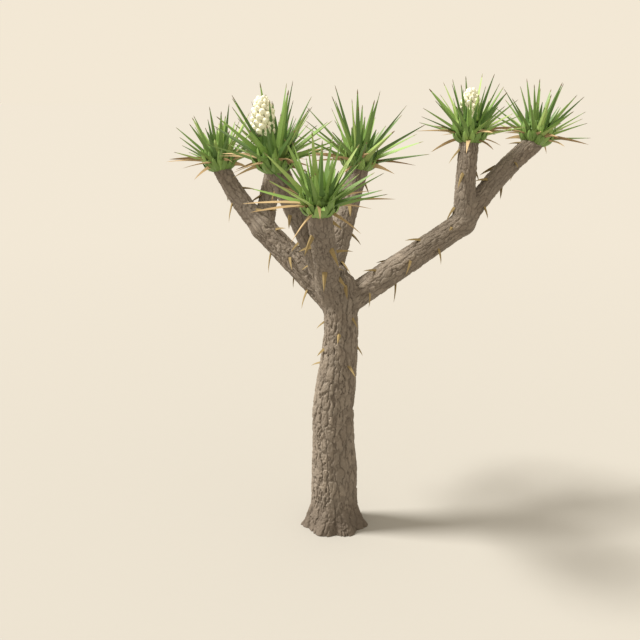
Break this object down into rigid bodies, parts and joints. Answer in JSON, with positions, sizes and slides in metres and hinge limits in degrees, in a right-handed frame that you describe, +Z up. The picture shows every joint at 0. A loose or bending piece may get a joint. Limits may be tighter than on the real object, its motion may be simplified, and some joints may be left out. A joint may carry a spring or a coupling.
{
  "type": "joshua tree",
  "caption": "Young Joshua tree: bare forked trunk with corky bark and upswept stems, each ending in a head of stiff dagger leaves over a thin skirt of dry ones.",
  "frame": {"origin": "centre of the flat cut under the trunk, at ground level", "axes": "+Z up along the trunk, +X towards the long right-hand bough, +Y away from the stem that leans forward"},
  "size_m": [2.8104, 2.0805, 3.0096],
  "materials": {
    "bark": "rough, corky, furrowed grey-brown bark",
    "live_leaf": "waxy green leaf blades, lighter at the margins",
    "dry_leaf": "matt tan dried leaf blades",
    "blossom": "waxy cream flowers in an upright panicle"
  },
  "bodies": {
    "root": {"trunk": "bark", "bough_left": "bark", "bough_right": "bark", "stem_left_outer": "bark", "stem_left_inner": "bark", "stem_fore_left": "bark", "stem_front": "bark", "stem_rear": "bark", "stem_right_inner": "bark", "stem_right_outer": "bark", "leaves_left_outer": "live_leaf", "leaves_left_inner": "live_leaf", "leaves_fore_left": "live_leaf", "leaves_front": "live_leaf", "leaves_rear": "live_leaf", "leaves_right_inner": "live_leaf", "leaves_right_outer": "live_leaf", "dry_skirt_left_outer": "dry_leaf", "dry_skirt_left_inner": "dry_leaf", "dry_skirt_fore_left": "dry_leaf", "dry_skirt_front": "dry_leaf", "dry_skirt_rear": "dry_leaf", "dry_skirt_right_inner": "dry_leaf", "dry_skirt_right_outer": "dry_leaf"}
  },
  "joints": []
}
